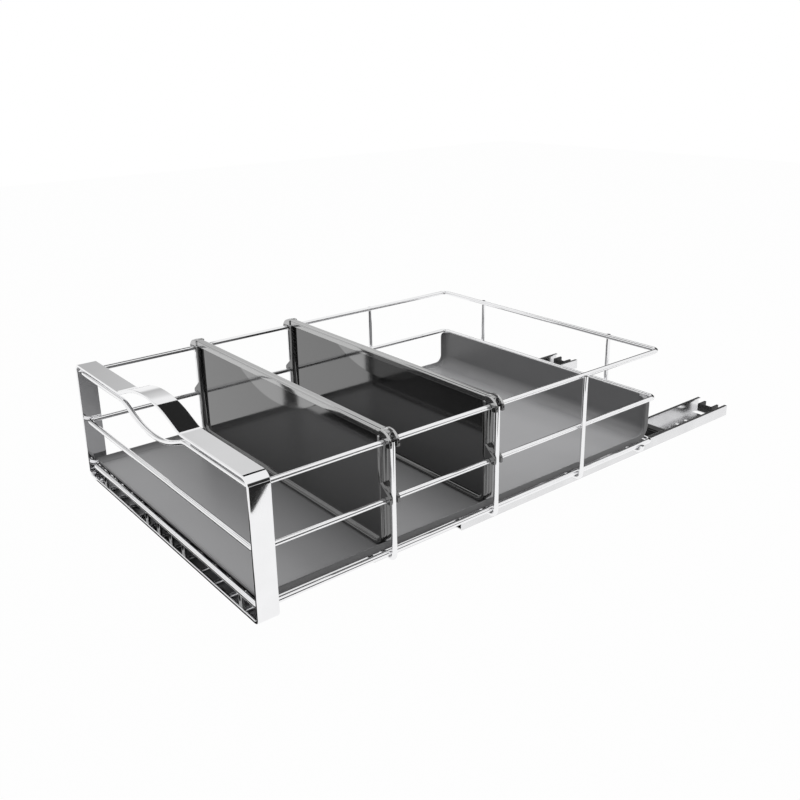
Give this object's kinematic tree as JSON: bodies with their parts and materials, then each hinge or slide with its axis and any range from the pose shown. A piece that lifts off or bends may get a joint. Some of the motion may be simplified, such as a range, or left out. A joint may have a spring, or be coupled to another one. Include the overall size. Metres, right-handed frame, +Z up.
{
  "type": "pull-out cabinet basket",
  "caption": "Chromed wire basket with a strap front frame, liner tray and lift-out dividers, carried on a pair of full-extension ball-bearing slides that screw to a cabinet floor.",
  "frame": {"origin": "on the cabinet floor, at the centre of the outer screw holes of the two cabinet members", "axes": "+Z up, +Y back into the cabinet along the slides, +X to the right as seen from the front; the basket pulls out along -Y"},
  "size_m": [0.3626, 0.702, 0.1611],
  "materials": {
    "chrome_strap": "mirror-polished chrome plate on flat steel strap",
    "chrome_wire": "bright chrome plate on round steel wire",
    "zinc_steel": "zinc-plated rolled steel sheet",
    "cage_steel": "plain punched steel strip",
    "ball_steel": "polished bearing steel",
    "tray_plastic": "satin grey moulded plastic",
    "divider_plastic": "glossy dark grey moulded plastic, paler along the cap and rim",
    "black_plastic": "black moulded plastic"
  },
  "bodies": {
    "cabinet_members": {"left_cabinet_member": "zinc_steel", "right_cabinet_member": "zinc_steel", "left_end_bumper": "black_plastic", "right_end_bumper": "black_plastic"},
    "outer_cages": {"left_outer_ball_cage": "cage_steel", "right_outer_ball_cage": "cage_steel", "left_outer_balls": "ball_steel", "right_outer_balls": "ball_steel"},
    "runners": {"left_intermediate_member": "zinc_steel", "right_intermediate_member": "zinc_steel", "left_runner_stop": "black_plastic", "right_runner_stop": "black_plastic"},
    "inner_cages": {"left_inner_ball_cage": "cage_steel", "right_inner_ball_cage": "cage_steel", "left_inner_balls": "ball_steel", "right_inner_balls": "ball_steel"},
    "basket": {"left_drawer_member": "zinc_steel", "right_drawer_member": "zinc_steel", "left_carrier": "zinc_steel", "right_carrier": "zinc_steel", "carrier_rivets": "zinc_steel", "front_frame": "chrome_strap", "top_ring": "chrome_wire", "middle_ring": "chrome_wire", "bottom_ring": "chrome_wire", "front_cross_wire": "chrome_wire", "middle_cross_wire": "chrome_wire", "rear_cross_wire": "chrome_wire", "rear_floor_wire": "chrome_wire", "left_back_wire": "chrome_wire", "right_back_wire": "chrome_wire", "floor_wires": "chrome_wire", "frame_posts": "chrome_wire", "liner_tray": "tray_plastic"},
    "front_divider": {"front_divider": "divider_plastic"},
    "rear_divider": {"rear_divider": "divider_plastic"}
  },
  "joints": [
    {"name": "basket_slide", "type": "slide", "parent": "cabinet_members", "child": "basket", "axis": [0, -1, 0], "range_m": [-0.206, 0.199]},
    {"name": "runner_slide", "type": "slide", "parent": "cabinet_members", "child": "runners", "axis": [0, -1, 0], "range_m": [-0.103, 0.0995]},
    {"name": "outer_cage_slide", "type": "slide", "parent": "cabinet_members", "child": "outer_cages", "axis": [0, -1, 0], "range_m": [-0.0515, 0.04975]},
    {"name": "inner_cage_slide", "type": "slide", "parent": "cabinet_members", "child": "inner_cages", "axis": [0, -1, 0], "range_m": [-0.1545, 0.14925]},
    {"name": "front_divider_lift", "type": "slide", "parent": "basket", "child": "front_divider", "axis": [0, 0, 1], "range_m": [0, 0.039]},
    {"name": "rear_divider_lift", "type": "slide", "parent": "basket", "child": "rear_divider", "axis": [0, 0, 1], "range_m": [0, 0.039]}
  ],
  "couplings": [
    {"joint": "runner_slide", "follows": "basket_slide", "ratio": 0.5},
    {"joint": "outer_cage_slide", "follows": "basket_slide", "ratio": 0.25},
    {"joint": "inner_cage_slide", "follows": "basket_slide", "ratio": 0.75}
  ]
}
